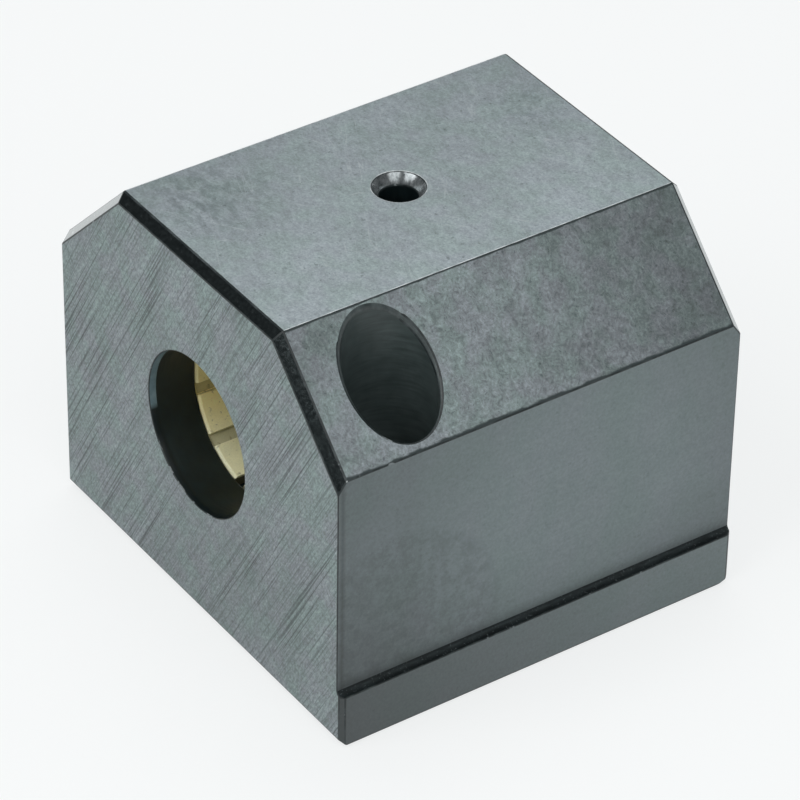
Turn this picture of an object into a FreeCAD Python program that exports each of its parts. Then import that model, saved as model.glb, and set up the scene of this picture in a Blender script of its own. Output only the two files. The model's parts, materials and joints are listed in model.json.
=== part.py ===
import FreeCAD, Part
import math
import os
import Sketcher

# Linear bearing block for a round shaft: a milled housing that carries a split, snapped-in plain liner.
#
# Frame: X across the block, Y along the shaft, Z up. The origin lies on the base, straight below the shaft
# axis and half way along the block. Lengths are in millimetres and angles in degrees.

SIZES = {
    # Housing, outside
    "body_width": "58.2",           # across the upright walls
    "block_height": "49.8",         # base to top
    "block_length": "55.5",         # along the shaft
    "top_flat_width": "32.9",       # flat top, between the two slopes
    "slope_drop": "12.65",          # height taken by each slope, which makes them 45 degrees
    "end_chamfer": "1.1",           # end edges of the top and of the slopes
    "foot_break": "0.3",            # long edges of the base
    "front_foot_break": "1.0",      # front edge of the base
    "rear_foot_length": "2.0",      # longer lead-off under the rear edge of the base, along Y
    "rear_foot_rise": "0.8",        # and its height
    # Locating ledge along the right side of the foot
    "ledge_projection": "0.95",     # how far it stands out from the upright wall
    "ledge_height": "7.3",
    "ledge_corner_radius": "0.8",   # left by the cutter where the wall meets the ledge
    "ledge_end_break": "0.55",
    # Bore
    "bore_height": "25.8",          # base to shaft axis
    "shaft_diameter": "20.0",
    "lip_clearance": "0.2",         # between shaft and end lips, on the radius
    "lip_length": "6.3",            # end lips that hold the liner
    # Liner
    "running_clearance": "0.025",   # between shaft and lands, on the radius
    "liner_wall": "1.5",
    "seat_clearance": "0.05",       # between liner and seat, on the radius
    "liner_end_play": "0.1",        # between liner and each lip
    "liner_edge_break": "0.3",
    "land_count": "10",
    "groove_width": "1.55",
    "groove_depth": "0.5",
    "slit_width": "1.6",
    "slit_turn": "5.5",             # turn of the slit from straight down, clockwise seen from the front
    # Peg on the liner that sits in the lower end of the top hole
    "peg_clearance": "0.15",        # on the radius
    "peg_height": "1.6",
    "peg_root": "0.5",              # depth of the peg's root in the liner's wall
    # Top hole
    "top_hole_diameter": "4.6",
    "countersink_diameter": "6.4",
    "countersink_depth": "1.35",
    # Screw holes
    "screw_spacing_across": "45.0",
    "screw_spacing_along": "33.0",
    "screw_hole_diameter": "6.6",
    "counterbore_diameter": "11.0",
    "counterbore_rim_break": "0.4",
    "counterbore_floor": "20.0",    # base to the face under the screw head
}

SHEET = "Sizes"
ON_EDGE = 1e-4                      # how close a point lies to a plane to count as on it


class Size:
    """A length worked out from the sheet: its expression, and its present value for the first drawing."""

    def __init__(self, value, expression):
        self.value = value
        self.expression = expression

    def __add__(self, other):
        return Size(self.value + other.value, f"({self.expression} + {other.expression})")

    def __sub__(self, other):
        return Size(self.value - other.value, f"({self.expression} - {other.expression})")

    def __neg__(self):
        return Size(-self.value, f"(-{self.expression})")

    def half(self):
        return Size(self.value / 2, f"({self.expression} / 2)")


def size(alias):
    return Size(float(SIZES[alias]), f"{SHEET}.{alias}")


ZERO = Size(0.0, "0 mm")


def fill_sheet(doc):
    sheet = doc.addObject("Spreadsheet::Sheet", SHEET)
    for row, (alias, text) in enumerate(SIZES.items(), start=1):
        sheet.set(f"A{row}", alias)
        sheet.set(f"B{row}", text)
        sheet.setAlias(f"B{row}", alias)
    doc.recompute()


def new_body(doc, label):
    body = doc.addObject("PartDesign::Body", label)
    body.Label = label
    return body


def new_sketch(body, name, role):
    """A sketch on one of the body's own origin planes."""
    sketch = body.newObject("Sketcher::SketchObject", name)
    plane = next(item for item in body.Origin.OriginFeatures if item.Role == role)
    sketch.AttachmentSupport = [(plane, "")]
    sketch.MapMode = "FlatFace"
    return sketch


def drive(sketch, kind, *args, driven_by):
    """Add one constraint whose value follows the sheet."""
    index = sketch.addConstraint(Sketcher.Constraint(kind, *args, abs(driven_by.value)))
    sketch.setExpression(f"Constraints[{index}]", driven_by.expression)


def pin_point(sketch, geometry, point, across, up):
    """Fix one point of the sketch at its distances from the sketch's origin."""
    for kind, axis, distance in (("DistanceX", -2, across), ("DistanceY", -1, up)):
        if distance.value == 0:
            sketch.addConstraint(Sketcher.Constraint("PointOnObject", geometry, point, axis))
        elif distance.value > 0:
            drive(sketch, kind, -1, 1, geometry, point, driven_by=distance)
        else:
            drive(sketch, kind, geometry, point, -1, 1, driven_by=-distance)


def draw_polygon(sketch, corners):
    """Draw a closed outline through the corners, each fixed by its own distances."""
    points = [FreeCAD.Vector(across.value, up.value, 0) for across, up in corners]
    count = len(points)
    for index in range(count):
        sketch.addGeometry(Part.LineSegment(points[index], points[(index + 1) % count]))
    for index in range(count):
        sketch.addConstraint(Sketcher.Constraint("Coincident", index, 2, (index + 1) % count, 1))
    for index, (across, up) in enumerate(corners):
        pin_point(sketch, index, 1, across, up)


def draw_circle(sketch, diameter, across=ZERO, up=ZERO):
    centre = FreeCAD.Vector(across.value, up.value, 0)
    circle = sketch.addGeometry(Part.Circle(centre, FreeCAD.Vector(0, 0, 1), diameter.value / 2))
    drive(sketch, "Diameter", circle, driven_by=diameter)
    pin_point(sketch, circle, 3, across, up)


def add_feature(body, kind, name, sketch):
    feature = body.newObject(f"PartDesign::{kind}", name)
    feature.Profile = sketch
    return feature


def revolve(body, kind, name, sketch, axis):
    feature = add_feature(body, kind, name, sketch)
    feature.ReferenceAxis = (sketch, [axis])
    feature.Angle = 360
    return feature


def cut_upward(body, name, sketch):
    pocket = add_feature(body, "Pocket", name, sketch)
    pocket.Type = "ThroughAll"
    pocket.Reversed = True
    return pocket


def cut_both_ways(body, name, sketch):
    pocket = add_feature(body, "Pocket", name, sketch)
    pocket.Type = "ThroughAll"
    pocket.Midplane = True
    return pocket


def turn_copies(body, name, features, sketch, count):
    """Repeat features evenly round the sketch's normal through its origin."""
    pattern = body.newObject("PartDesign::PolarPattern", name)
    pattern.Originals = features
    pattern.Axis = (sketch, ["N_Axis"])
    pattern.Angle = 360
    pattern.setExpression("Occurrences", count)
    body.Tip = pattern
    return pattern


def edges_where(feature, wanted):
    """Names of the edges whose end points and middle all pass the test."""
    names = []
    for number, edge in enumerate(feature.Shape.Edges, start=1):
        points = [vertex.Point for vertex in edge.Vertexes]
        points.append(edge.CenterOfMass)
        if all(wanted(point) for point in points):
            names.append(f"Edge{number}")
    return names


def dress_edges(body, kind, name, wanted, sizes):
    """Chamfer or fillet the present tip's edges that pass the test."""
    base = body.Tip
    body.Document.recompute()
    feature = body.newObject(f"PartDesign::{kind}", name)
    feature.Base = (base, edges_where(base, wanted))
    for prop, bound in sizes.items():
        feature.setExpression(prop, bound.expression)
    return feature


def near(value, bound):
    return abs(value - bound.value) < ON_EDGE


# Radii along the shaft axis, shared by the housing's bore and the liner that it carries.
LAND_RADIUS = size("shaft_diameter").half() + size("running_clearance")
LINER_RADIUS = LAND_RADIUS + size("liner_wall")
SEAT_RADIUS = LINER_RADIUS + size("seat_clearance")
LIP_RADIUS = size("shaft_diameter").half() + size("lip_clearance")

HALF_LENGTH = size("block_length").half()
HALF_SEAT = HALF_LENGTH - size("lip_length")


def housing_block(body):
    """The end profile, pushed along the shaft: hexagonal, with the ledge at the foot of the right wall."""
    wall = size("body_width").half()
    top_corner = size("top_flat_width").half()
    slope_foot = size("block_height") - size("slope_drop")
    ledge = wall + size("ledge_projection")
    profile = new_sketch(body, "EndProfile", "XZ_Plane")
    draw_polygon(profile, [
        (-wall, ZERO),
        (ledge, ZERO),
        (ledge, size("ledge_height")),
        (wall, size("ledge_height")),
        (wall, slope_foot),
        (top_corner, size("block_height")),
        (-top_corner, size("block_height")),
        (-wall, slope_foot),
    ])
    block = add_feature(body, "Pad", "Block", profile)
    block.Midplane = True
    block.setExpression("Length", size("block_length").expression)


def housing_edges(body):
    """The cutter's radius above the ledge, the end chamfers and the broken edges of the foot."""
    wall = size("body_width").half()
    ledge = wall + size("ledge_projection")
    slope_foot = size("block_height") - size("slope_drop")

    def on_ends(point):
        return near(abs(point.y), HALF_LENGTH)

    def above_ledge(point):
        return near(point.x, wall) and near(point.z, size("ledge_height"))

    def over_the_top(point):
        return on_ends(point) and point.z > slope_foot.value - ON_EDGE

    def ledge_ends(point):
        return on_ends(point) and near(point.x, ledge)

    def front_foot(point):
        return near(-point.y, HALF_LENGTH) and near(point.z, ZERO)

    def rear_foot(point):
        return near(point.y, HALF_LENGTH) and near(point.z, ZERO)

    def foot_sides(point):
        return near(point.z, ZERO) and (near(-point.x, wall) or near(point.x, ledge))

    dress_edges(body, "Fillet", "LedgeCorner", above_ledge, {"Radius": size("ledge_corner_radius")})
    dress_edges(body, "Chamfer", "EndChamfers", over_the_top, {"Size": size("end_chamfer")})
    dress_edges(body, "Chamfer", "FrontFoot", front_foot, {"Size": size("front_foot_break")})
    rear = dress_edges(body, "Chamfer", "RearFoot", rear_foot, {
        "Size": size("rear_foot_rise"),
        "Size2": size("rear_foot_length"),
    })
    rear.ChamferType = "Two distances"
    dress_edges(body, "Chamfer", "LedgeEnds", ledge_ends, {"Size": size("ledge_end_break")})
    dress_edges(body, "Chamfer", "FootBreak", foot_sides, {"Size": size("foot_break")})


def housing_bore(body):
    """The stepped bore: a lip at each end, and between them the wider seat of the liner."""
    section = new_sketch(body, "BoreSection", "YZ_Plane")
    section.setExpression("AttachmentOffset.Base.y", size("bore_height").expression)
    draw_polygon(section, [
        (-HALF_LENGTH, ZERO),
        (-HALF_LENGTH, LIP_RADIUS),
        (-HALF_SEAT, LIP_RADIUS),
        (-HALF_SEAT, SEAT_RADIUS),
        (HALF_SEAT, SEAT_RADIUS),
        (HALF_SEAT, LIP_RADIUS),
        (HALF_LENGTH, LIP_RADIUS),
        (HALF_LENGTH, ZERO),
    ])
    revolve(body, "Groove", "Bore", section, "H_Axis")


def housing_screw_holes(body):
    """Two counterbored screw holes on a diagonal, each sunk upright through one of the slopes."""
    across = size("screw_spacing_across").half()
    along = -size("screw_spacing_along").half()
    wall_radius = size("counterbore_diameter").half()
    slope_foot = size("block_height") - size("slope_drop")

    def counterbore_rim(point):
        off_centre = math.hypot(abs(point.x) - across.value, abs(point.y) + along.value)
        return off_centre < wall_radius.value + ON_EDGE and point.z > slope_foot.value

    seat_circle = new_sketch(body, "CounterboreCircle", "XY_Plane")
    seat_circle.setExpression("AttachmentOffset.Base.z", size("counterbore_floor").expression)
    draw_circle(seat_circle, size("counterbore_diameter"), across, along)
    counterbore = cut_upward(body, "Counterbore", seat_circle)
    hole_circle = new_sketch(body, "ScrewCircle", "XY_Plane")
    draw_circle(hole_circle, size("screw_hole_diameter"), across, along)
    hole = cut_upward(body, "ScrewHole", hole_circle)
    turn_copies(body, "ScrewHoles", [counterbore, hole], hole_circle, "2")
    dress_edges(body, "Chamfer", "CounterboreRims", counterbore_rim, {"Size": size("counterbore_rim_break")})


def housing_top_hole(body):
    """The countersunk hole from the middle of the top down into the liner's seat."""
    radius = size("top_hole_diameter").half()
    rim = size("countersink_diameter").half()
    top = size("block_height")
    inside_seat = size("bore_height") + LIP_RADIUS
    section = new_sketch(body, "TopHoleSection", "XZ_Plane")
    draw_polygon(section, [
        (ZERO, inside_seat),
        (radius, inside_seat),
        (radius, top - size("countersink_depth")),
        (rim, top),
        (ZERO, top),
    ])
    revolve(body, "Groove", "TopHole", section, "V_Axis")


def make_housing(doc):
    body = new_body(doc, "housing")
    for step in (housing_block, housing_edges, housing_bore, housing_screw_holes, housing_top_hole):
        step(body)
        doc.recompute()
    return body


def liner_sleeve(body):
    """The sleeve, turned from its half section, with broken edges at both ends."""
    edge = size("liner_edge_break")
    half = HALF_SEAT - size("liner_end_play")
    section = new_sketch(body, "SleeveSection", "YZ_Plane")
    draw_polygon(section, [
        (-half, LAND_RADIUS + edge),
        (-half, LINER_RADIUS - edge),
        (edge - half, LINER_RADIUS),
        (half - edge, LINER_RADIUS),
        (half, LINER_RADIUS - edge),
        (half, LAND_RADIUS + edge),
        (half - edge, LAND_RADIUS),
        (edge - half, LAND_RADIUS),
    ])
    revolve(body, "Revolution", "Sleeve", section, "H_Axis")


def radial_slot(body, name, width, near_axis, far):
    """A rectangle below the axis, turned to the slit's place, for a cut along the whole liner."""
    slot = new_sketch(body, name, "XZ_Plane")
    slot.setExpression("AttachmentOffset.Rotation.Angle", f"-1 deg * {size('slit_turn').expression}")
    draw_polygon(slot, [
        (-width.half(), -far),
        (width.half(), -far),
        (width.half(), -near_axis),
        (-width.half(), -near_axis),
    ])
    return slot


def liner_grooves(body):
    """Grooves between the lands, evenly spaced from the slit, and the slit itself through the wall."""
    inside = LAND_RADIUS - size("liner_wall")
    outside = LINER_RADIUS + size("liner_wall")
    floor = LAND_RADIUS + size("groove_depth")
    groove_sketch = radial_slot(body, "GrooveSketch", size("groove_width"), inside, floor)
    groove = cut_both_ways(body, "Groove", groove_sketch)
    turn_copies(body, "Grooves", [groove], groove_sketch, f"{SHEET}.land_count")
    slit_sketch = radial_slot(body, "SlitSketch", size("slit_width"), inside, outside)
    cut_both_ways(body, "Slit", slit_sketch)


def liner_peg(body):
    """The round peg on top that sits in the housing's top hole and keeps the liner from turning."""
    root = LINER_RADIUS - size("peg_root")
    circle = new_sketch(body, "PegCircle", "XY_Plane")
    circle.setExpression("AttachmentOffset.Base.z", root.expression)
    play = size("peg_clearance")
    draw_circle(circle, size("top_hole_diameter") - play - play)
    peg = add_feature(body, "Pad", "Peg", circle)
    peg.setExpression("Length", (size("peg_root") + size("peg_height")).expression)


def make_liner(doc):
    """The liner is modelled about its own axis and then lifted to the height of the bore."""
    body = new_body(doc, "liner")
    for step in (liner_sleeve, liner_grooves, liner_peg):
        step(body)
        doc.recompute()
    body.setExpression("Placement.Base.z", size("bore_height").expression)
    return body


def check_model(doc, bodies):
    doc.recompute()
    for item in doc.Objects:
        if "Invalid" in item.State or "Error" in item.State:
            raise RuntimeError(f"{item.Label} failed: {item.State}")
    for body in bodies:
        if body.Shape.isNull() or not body.Shape.isValid() or len(body.Shape.Solids) != 1:
            raise RuntimeError(f"{body.Label} is not one valid solid")
        cuts = [item for item in body.Group if item.TypeId in ("PartDesign::Pocket", "PartDesign::Groove")]
        for cut in cuts:
            if cut.Shape.Volume > cut.BaseFeature.Shape.Volume - ON_EDGE:
                raise RuntimeError(f"{cut.Label} cuts nothing")


def main():
    doc = FreeCAD.newDocument("LinearBearingBlock")
    fill_sheet(doc)
    bodies = [make_housing(doc), make_liner(doc)]
    check_model(doc, bodies)
    os.makedirs("parts", exist_ok=True)
    for body in bodies:
        body.Shape.exportStep(f"parts/{body.Label}.step")
        print(f"{body.Label}: {body.Shape.Volume:.1f} cubic mm, {len(body.Shape.Faces)} faces")


main()
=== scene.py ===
# %% [markdown]
# # A linear bearing block, modelled and finished in Blender
#
# The real object is a small machined block that slides along a round shaft. It has two parts: a housing,
# milled from a bar of aluminium and anodised dark, and a split polymer liner that snaps into its bore.
# The solid model from the CAD program is loaded first as a fixed frame. Every new piece is then modelled
# to the sizes of that frame, so nothing has to be fitted by eye.

# %% Load the frame
import json
import math
import bmesh
import bpy
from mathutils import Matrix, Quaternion, Vector


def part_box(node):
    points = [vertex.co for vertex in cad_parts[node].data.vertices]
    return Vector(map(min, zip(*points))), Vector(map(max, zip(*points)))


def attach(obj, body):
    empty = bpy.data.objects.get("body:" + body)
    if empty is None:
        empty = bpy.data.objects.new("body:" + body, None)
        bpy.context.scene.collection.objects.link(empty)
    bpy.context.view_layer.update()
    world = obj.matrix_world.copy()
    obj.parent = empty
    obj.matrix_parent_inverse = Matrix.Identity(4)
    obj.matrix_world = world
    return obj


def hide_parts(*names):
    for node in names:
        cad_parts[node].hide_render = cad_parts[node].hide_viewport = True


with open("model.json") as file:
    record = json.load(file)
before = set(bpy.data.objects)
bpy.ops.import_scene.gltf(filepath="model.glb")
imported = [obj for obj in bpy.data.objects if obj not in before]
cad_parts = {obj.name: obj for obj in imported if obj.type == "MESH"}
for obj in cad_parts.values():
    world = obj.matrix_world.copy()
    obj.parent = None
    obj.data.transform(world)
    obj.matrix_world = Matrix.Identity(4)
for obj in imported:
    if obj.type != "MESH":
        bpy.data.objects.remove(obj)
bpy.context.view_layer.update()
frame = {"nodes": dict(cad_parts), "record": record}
block_low, block_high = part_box("housing")
liner_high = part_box("liner")[1]
mounts = {mount["name"]: mount for mount in frame["record"]["mounts"]}
print("nodes:", sorted(frame["nodes"]), "mounts:", sorted(mounts))

# %% [markdown]
# ## The sizes of the block
#
# Blender works in metres, and a machinist thinks in millimetres, so each size is written in millimetres
# and multiplied by MM. The outside corners, the bore and the screw holes come from the frame. The sizes
# that the frame doesn't name, such as the chamfers, are written down once here.

# %% Name the sizes
MM = 0.001
WALL_X = 29.1 * MM              # upright walls, left and right of the shaft
LEDGE_X = block_high.x          # outer face of the locating ledge
END_Y = block_high.y            # milled ends
TOP_Z = block_high.z
LEDGE_Z = 7.3 * MM
SLOPE_DROP = 12.65 * MM
SLOPE_FOOT_Z = TOP_Z - SLOPE_DROP
SLOPE_HEAD_X = WALL_X - SLOPE_DROP
LEDGE_CORNER = 0.8 * MM
END_CHAMFER = 1.1 * MM
LEDGE_END_BREAK = 0.55 * MM
FOOT_BREAK = 0.3 * MM
FRONT_FOOT_BREAK = 1.0 * MM
REAR_FOOT_LENGTH = 2.0 * MM
REAR_FOOT_RISE = 0.8 * MM
SHAFT_AXIS = Vector(mounts["shaft_bore"]["pos_m"])
LAND_RADIUS = mounts["shaft_bore"]["dims"]["r_mm"] * MM
LIP_RADIUS = 10.2 * MM
MOUTH_BAND = 1.0 * MM           # first part of each lip, just inside the end
SEAT_RADIUS = 11.575 * MM
SEAT_Y = liner_high.y + 0.1 * MM
SCREW_RADIUS = mounts["screw_holes"]["dims"]["hole_r_mm"] * MM
SCREW_PLACE = Vector((22.5 * MM, -16.5 * MM, 0))
COUNTERBORE_RADIUS = 5.5 * MM
COUNTERBORE_FLOOR_Z = 20 * MM
RIM_BREAK = 0.4 * MM            # chamfer round each counterbore's mouth
TOP_HOLE_RADIUS = 2.3 * MM
COUNTERSINK_RADIUS = 3.2 * MM
COUNTERSINK_DEPTH = 1.35 * MM
NEAR = 0.02 * MM                # how close counts as on a plane
SQUARE_TO = 0.99                # how much of a normal points one way when its face is square to it
print("block, mm:", [round(v / MM, 2) for v in (*block_low, *block_high)])

# %% [markdown]
# ## Working by hand, in code
#
# A person selects an edge with the mouse and presses a key. In a script the same operators are used, but
# the edge is picked by where it lies or which way it faces. Only what is selected is changed, so each
# helper starts with nothing selected.

# %% Helpers for picking
def take_up(piece):
    """Leave edit mode and make this the only selected object."""
    if bpy.context.object and bpy.context.object.mode != "OBJECT":
        bpy.ops.object.mode_set(mode="OBJECT")
    bpy.ops.object.select_all(action="DESELECT")
    piece.select_set(True)
    bpy.context.view_layer.objects.active = piece


def put_down_all():
    if bpy.context.object and bpy.context.object.mode != "OBJECT":
        bpy.ops.object.mode_set(mode="OBJECT")
    bpy.ops.object.select_all(action="DESELECT")


def fix_place():
    """Put the active object's place, turn and scale into its mesh."""
    bpy.ops.object.transform_apply(location=True, rotation=True, scale=True)


def pick(piece, kind, wanted):
    """In edit mode, select only the edges or faces that pass the test, and return how many."""
    bpy.ops.mesh.select_mode(type=kind)
    bpy.ops.mesh.select_all(action="DESELECT")
    shape = bmesh.from_edit_mesh(piece.data)
    parts = shape.edges if kind == "EDGE" else shape.faces
    picked = [part for part in parts if wanted(part)]
    for part in picked:
        part.select_set(True)
    bmesh.update_edit_mesh(piece.data)
    return len(picked)


def both_ends(edge, test):
    return all(test(corner.co) for corner in edge.verts)


def close(a, b):
    return abs(a - b) < NEAR


def across_an_end(edge):
    """The edge lies in one of the two milled ends."""
    first, second = (corner.co.y for corner in edge.verts)
    return close(first, second) and close(abs(first), END_Y)


# %% [markdown]
# ## The housing, from bar to block
#
# The real housing starts as a rectangular bar. Its end could be drawn as an outline and pushed through the
# length of the block, but a cube of the block's size can be cut as the bar is, in the same order, and each
# cut is seen. The two slopes are bevels of the long top edges, the ledge is the foot of the right wall
# pushed out, and its inner corner gets the round that the milling cutter leaves.

# %% Cut the bar to size
put_down_all()
bpy.ops.mesh.primitive_cube_add(
    size=1,
    location=(0, 0, TOP_Z / 2),
    scale=(2 * WALL_X, 2 * END_Y, TOP_Z),
)
housing = bpy.context.object
housing.name = "housing_block"
fix_place()
print("bar, mm:", [round(v / MM, 2) for v in housing.dimensions])

# %% Mill the slopes and the ledge
bpy.ops.object.mode_set(mode="EDIT")
count = pick(housing, "EDGE", lambda e: both_ends(e, lambda p: close(p.z, TOP_Z))
             and close(e.verts[0].co.x, e.verts[1].co.x))
bpy.ops.mesh.bevel(offset=SLOPE_DROP, offset_type="OFFSET", segments=1, affect="EDGES")
print("slopes cut on", count, "edges")

bpy.ops.mesh.select_all(action="SELECT")
bpy.ops.mesh.bisect(plane_co=(0, 0, LEDGE_Z), plane_no=(0, 0, 1))
count = pick(housing, "FACE", lambda f: f.normal.x > 0.9 and f.calc_center_median().z < LEDGE_Z)
bpy.ops.mesh.extrude_region_move(TRANSFORM_OT_translate={"value": (LEDGE_X - WALL_X, 0, 0)})
print("ledge pushed out from", count, "face")

# %% Round the corner above the ledge
count = pick(housing, "EDGE", lambda e: both_ends(e, lambda p: close(p.x, WALL_X) and close(p.z, LEDGE_Z)))
bpy.ops.mesh.bevel(offset=LEDGE_CORNER, offset_type="OFFSET", segments=8, affect="EDGES")
print("rounded", count, "inside corner")

# %% [markdown]
# ## Chamfers
#
# The ends of the top and of the slopes have a 45 degree chamfer, and so has the front edge of the foot.
# Each is a bevel of the edges themselves, so that it mitres at the corners without being cut to fit. The
# lead-off under the rear edge is longer than it is high, so it starts as an even bevel, and its lower edge
# is then moved forwards. The long edges of the foot are broken last.

# %% Chamfer the ends and the foot
count = pick(housing, "EDGE", lambda e: across_an_end(e)
             and both_ends(e, lambda p: p.z > SLOPE_FOOT_Z - NEAR))
bpy.ops.mesh.bevel(offset=END_CHAMFER, offset_type="OFFSET", segments=1, affect="EDGES")
print("end chamfers:", count)

pick(housing, "EDGE", lambda e: both_ends(e, lambda p: close(p.y, -END_Y) and close(p.z, 0)))
bpy.ops.mesh.bevel(offset=FRONT_FOOT_BREAK, offset_type="OFFSET", segments=1, affect="EDGES")

pick(housing, "EDGE", lambda e: both_ends(e, lambda p: close(p.y, END_Y) and close(p.z, 0)))
bpy.ops.mesh.bevel(offset=REAR_FOOT_RISE, offset_type="OFFSET", segments=1, affect="EDGES")
pick(housing, "EDGE", lambda e: both_ends(e, lambda p: close(p.y, END_Y - REAR_FOOT_RISE) and close(p.z, 0)))
bpy.ops.transform.translate(value=(0, REAR_FOOT_RISE - REAR_FOOT_LENGTH, 0))
count = pick(housing, "EDGE", lambda e: both_ends(e, lambda p: close(p.z, 0) and close(p.x, -WALL_X))
             or both_ends(e, lambda p: close(p.z, 0) and close(p.x, LEDGE_X)))
bpy.ops.mesh.bevel(offset=FOOT_BREAK, offset_type="OFFSET", segments=1, affect="EDGES")
print("foot edges broken:", count)

# %% Tidy the faces
def tidy_faces():
    """In edit mode: merge what meets, join the faces that lie in one plane, and turn them all outwards."""
    bpy.ops.mesh.select_mode(type="VERT")
    bpy.ops.mesh.select_all(action="SELECT")
    bpy.ops.mesh.remove_doubles(threshold=0.001 * MM)
    bpy.ops.mesh.dissolve_limited(angle_limit=math.radians(0.1))
    bpy.ops.mesh.select_all(action="SELECT")
    bpy.ops.mesh.normals_make_consistent(inside=False)
    bpy.ops.object.mode_set(mode="OBJECT")


def open_edges(piece):
    """How many edges don't join exactly two faces: none, on a closed piece."""
    shape = bmesh.new()
    shape.from_mesh(piece.data)
    count = sum(not edge.is_manifold for edge in shape.edges)
    shape.free()
    return count


tidy_faces()
print("faces now:", len(housing.data.polygons), "open edges:", open_edges(housing))

# %% [markdown]
# ## Holes
#
# Every hole in the block is round, and most have steps: a narrow lip and a wider seat, or a wide mouth over
# a narrower hole. A tool for each is turned from a circle, one extrude and one resize for each step. A
# Boolean modifier then takes the tool out of the block, just as boring and drilling do.

# %% Helper that turns a stepped tool
def turned_tool(name, centre, along, rings, sides):
    """A closed turned solid about a line through centre. Each ring is (distance along the line, radius)."""
    along = Vector(along)
    turn = Vector((0, 0, 1)).rotation_difference(along)
    first_at, first_radius = rings[0]
    put_down_all()
    bpy.ops.mesh.primitive_circle_add(
        vertices=sides,
        radius=first_radius,
        fill_type="NGON",
        location=centre + along * first_at,
        rotation=turn.to_euler(),
    )
    tool = bpy.context.object
    tool.name = name
    fix_place()
    bpy.ops.object.mode_set(mode="EDIT")
    bpy.ops.mesh.select_mode(type="FACE")
    bpy.ops.mesh.select_all(action="SELECT")
    at, radius = first_at, first_radius
    for next_at, next_radius in rings[1:]:
        bpy.ops.mesh.extrude_region_move(TRANSFORM_OT_translate={"value": along * (next_at - at)})
        ratio = next_radius / radius
        bpy.ops.transform.resize(value=(ratio, ratio, ratio), center_override=centre + along * next_at)
        at, radius = next_at, next_radius
    bpy.ops.mesh.select_all(action="SELECT")
    bpy.ops.mesh.normals_make_consistent(inside=False)
    bpy.ops.object.mode_set(mode="OBJECT")
    return tool


def cut_with(piece, tool, operation="DIFFERENCE"):
    """Take the tool out of the piece, or join it on, and put the tool away."""
    take_up(piece)
    boolean = piece.modifiers.new("Cut", "BOOLEAN")
    boolean.operation = operation
    boolean.solver = "EXACT"
    boolean.object = tool
    bpy.ops.object.modifier_apply(modifier=boolean.name)
    bpy.data.objects.remove(tool, do_unlink=True)
    print(piece.name, "now has", len(piece.data.polygons), "faces and", open_edges(piece), "open edges")


# %% Bore the housing
bore_tool = turned_tool("bore_tool", SHAFT_AXIS, (0, 1, 0), [
    (-END_Y - MM, LIP_RADIUS),
    (-END_Y + MOUTH_BAND, LIP_RADIUS),
    (-SEAT_Y, LIP_RADIUS),
    (-SEAT_Y, SEAT_RADIUS),
    (SEAT_Y, SEAT_RADIUS),
    (SEAT_Y, LIP_RADIUS),
    (END_Y - MOUTH_BAND, LIP_RADIUS),
    (END_Y + MM, LIP_RADIUS),
], sides=160)
cut_with(housing, bore_tool)

# %% Sink the screw holes and the top hole
for side in (1, -1):
    screw_tool = turned_tool("screw_tool", SCREW_PLACE * side, (0, 0, 1), [
        (-MM, SCREW_RADIUS),
        (COUNTERBORE_FLOOR_Z, SCREW_RADIUS),
        (COUNTERBORE_FLOOR_Z, COUNTERBORE_RADIUS),
        (TOP_Z + MM, COUNTERBORE_RADIUS),
    ], sides=112)
    cut_with(housing, screw_tool)

top_tool = turned_tool("top_tool", Vector((0, 0, 0)), (0, 0, 1), [
    (SHAFT_AXIS.z + LIP_RADIUS, TOP_HOLE_RADIUS),
    (TOP_Z - COUNTERSINK_DEPTH, TOP_HOLE_RADIUS),
    (TOP_Z + COUNTERSINK_DEPTH, 2 * COUNTERSINK_RADIUS - TOP_HOLE_RADIUS),
], sides=72)
cut_with(housing, top_tool)

# %% [markdown]
# ## Corners cut last
#
# The two end corners of the ledge are cut across its foot and its round, so a bevel of one edge can't give
# them. A cube turned 45 degrees takes each corner off in one straight cut. The mouth of each counterbore has
# a small chamfer too. Its edge is an ellipse, so it is picked by how far it lies from the hole's centre line.

# %% Cut the ledge's end corners
WEDGE_SIDE = 8 * MM
for end in (-1, 1):
    corner_at = Vector((LEDGE_X, end * END_Y, LEDGE_Z))
    outwards = Vector((1, end, 0)).normalized()
    cut_depth = LEDGE_END_BREAK / math.sqrt(2)
    put_down_all()
    bpy.ops.mesh.primitive_cube_add(
        size=1,
        location=corner_at + outwards * (WEDGE_SIDE / 2 - cut_depth),
        rotation=(0, 0, math.radians(45)),
        scale=(WEDGE_SIDE, WEDGE_SIDE, 3 * LEDGE_Z),
    )
    wedge = bpy.context.object
    fix_place()
    cut_with(housing, wedge)


# %% Chamfer the counterbores' mouths
def off_screw(place):
    """How far a place is from the nearer of the two screw holes' centre lines."""
    flat = Vector((place.x, place.y, 0))
    return min((flat - SCREW_PLACE * side).length for side in (1, -1))


take_up(housing)
bpy.ops.object.mode_set(mode="EDIT")
count = pick(housing, "EDGE", lambda e: both_ends(e, lambda p: p.z > SLOPE_FOOT_Z
             and close(off_screw(p), COUNTERBORE_RADIUS)
             and close(abs(p.x) + p.z, WALL_X + SLOPE_FOOT_Z)))
bpy.ops.mesh.bevel(offset=RIM_BREAK, offset_type="OFFSET", segments=1, affect="EDGES")
bpy.ops.object.mode_set(mode="OBJECT")
print("rim edges broken:", count, "open edges:", open_edges(housing))
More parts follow.
